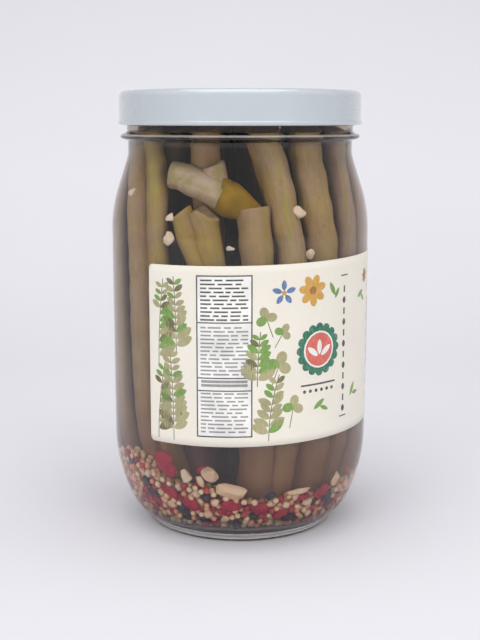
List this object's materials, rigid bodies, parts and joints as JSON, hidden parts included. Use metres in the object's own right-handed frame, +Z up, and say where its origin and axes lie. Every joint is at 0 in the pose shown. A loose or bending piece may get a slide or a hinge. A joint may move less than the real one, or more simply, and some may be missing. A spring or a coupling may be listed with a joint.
{
  "type": "jar of pickled green beans",
  "caption": "Shut round glass jar with a lug cap and a wrapped paper label, filled with brine, whole pickled beans and spices.",
  "frame": {"origin": "on the surface the jar stands on, on the jar's axis", "axes": "+Z up along the jar's axis, -Y towards the viewer of the label's front"},
  "size_m": [0.0904, 0.0906, 0.1523],
  "materials": {
    "glass": "polished",
    "lid": "gloss",
    "label": "satin",
    "brine": "polished"
  },
  "bodies": {
    "root": {"jar_glass": "glass", "lid": "lid", "label": "label", "brine": "brine"}
  },
  "joints": []
}
